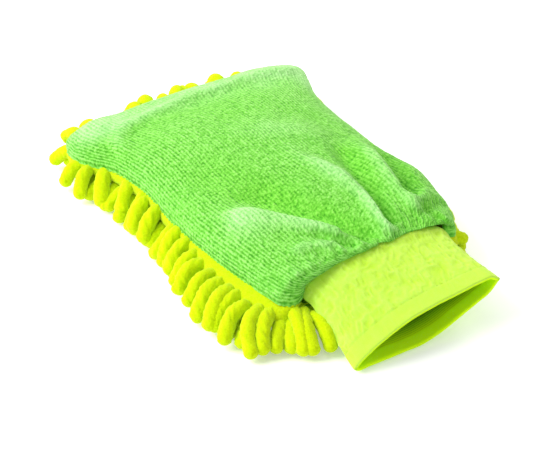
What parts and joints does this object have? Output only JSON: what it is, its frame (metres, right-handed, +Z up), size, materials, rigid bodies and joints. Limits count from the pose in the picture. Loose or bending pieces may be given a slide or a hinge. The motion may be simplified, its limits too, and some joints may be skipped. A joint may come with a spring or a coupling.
{
  "type": "wash mitt",
  "caption": "Fabric wash mitt: looped terry back, palm and edges covered in fat chenille noodles, gathered wrist and a soft open knit cuff.",
  "frame": {"origin": "under the middle of the object's box, on the surface it lies on", "axes": "+Y from the cuff's mouth to the finger end, +X across the back, +Z up, palm down"},
  "size_m": [0.212, 0.2909, 0.0491],
  "materials": {
    "green_terry": "looped terry, matte",
    "chenille": "chenille pile, matte",
    "green_lining": "fine knit, matte",
    "yellow_knit": "crinkled stretch knit, matte",
    "green_thread": "thread",
    "yellow_thread": "thread",
    "elastic": "woven elastic, matte"
  },
  "bodies": {
    "mitt": {"top_panel": "green_terry", "chenille_backing": "chenille", "back_lining": "green_lining", "palm_lining": "green_lining", "edge_seam_thread": "green_thread", "wrist_elastic": "elastic", "wrist_seam_thread": "yellow_thread", "wrist_corner_left": "chenille", "wrist_corner_right": "chenille", "tip_corner_left": "chenille", "tip_corner_right": "chenille", "wrist_noodles": "chenille", "tip_noodles": "chenille", "palm_noodles_left_1": "chenille", "palm_noodles_left_2": "chenille", "palm_noodles_left_3": "chenille", "palm_noodles_left_4": "chenille", "palm_noodles_right_1": "chenille", "palm_noodles_right_2": "chenille", "palm_noodles_right_3": "chenille", "palm_noodles_right_4": "chenille"},
    "cuff": {"cuff_shell": "yellow_knit", "cuff_lining": "green_lining", "hem_thread": "yellow_thread"},
    "left_edge_noodles": {"left_fringe": "chenille"},
    "right_edge_noodles": {"right_fringe": "chenille"},
    "tip_edge_noodles": {"tip_fringe": "chenille"}
  },
  "joints": [
    {"name": "cuff_fold", "type": "hinge", "parent": "mitt", "child": "cuff", "pos_m": [0, -0.094, 0.0384], "axis": [-1, 0, 0], "range_deg": [0, 75]},
    {"name": "left_fringe_swing", "type": "hinge", "parent": "mitt", "child": "left_edge_noodles", "pos_m": [-0.06606, -0.0624, 0.0171], "axis": [-0.0801, 0.9968, 0], "range_deg": [0, 38]},
    {"name": "right_fringe_swing", "type": "hinge", "parent": "mitt", "child": "right_edge_noodles", "pos_m": [0.07729, -0.0624, 0.0171], "axis": [-0.0101, -0.9999, 0], "range_deg": [0, 38]},
    {"name": "tip_fringe_swing", "type": "hinge", "parent": "mitt", "child": "tip_edge_noodles", "pos_m": [0, 0.119, 0.0171], "axis": [1, 0, 0], "range_deg": [0, 38]}
  ]
}
